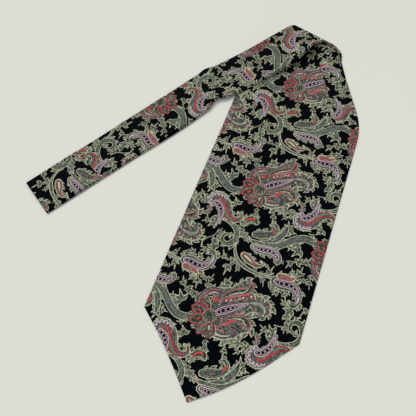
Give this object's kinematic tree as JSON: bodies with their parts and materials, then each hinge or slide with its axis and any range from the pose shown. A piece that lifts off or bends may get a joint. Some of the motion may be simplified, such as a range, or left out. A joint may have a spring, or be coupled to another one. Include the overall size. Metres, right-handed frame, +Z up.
{
  "type": "cravat",
  "caption": "Pointed silk cravat laid flat, knife-pleated at the neck, with its long square-ended band folded over the blade and out to one side",
  "frame": {"origin": "On the table, under the middle of the bounding box", "axes": "+Y runs along the blade from its point to the neck, +Z is up from the table, +X is to the right of the blade seen from above with the neck away from the viewer"},
  "size_m": [0.3734, 0.5186, 0.009],
  "materials": {
    "blade_silk": "printed silk twill, a low sheen",
    "neckband_silk": "printed silk twill, folded and stitched",
    "strap_end_silk": "printed silk twill, folded and stitched"
  },
  "bodies": {
    "root": {"blade": "blade_silk", "neckband": "neckband_silk", "strap_end": "strap_end_silk"}
  },
  "joints": []
}
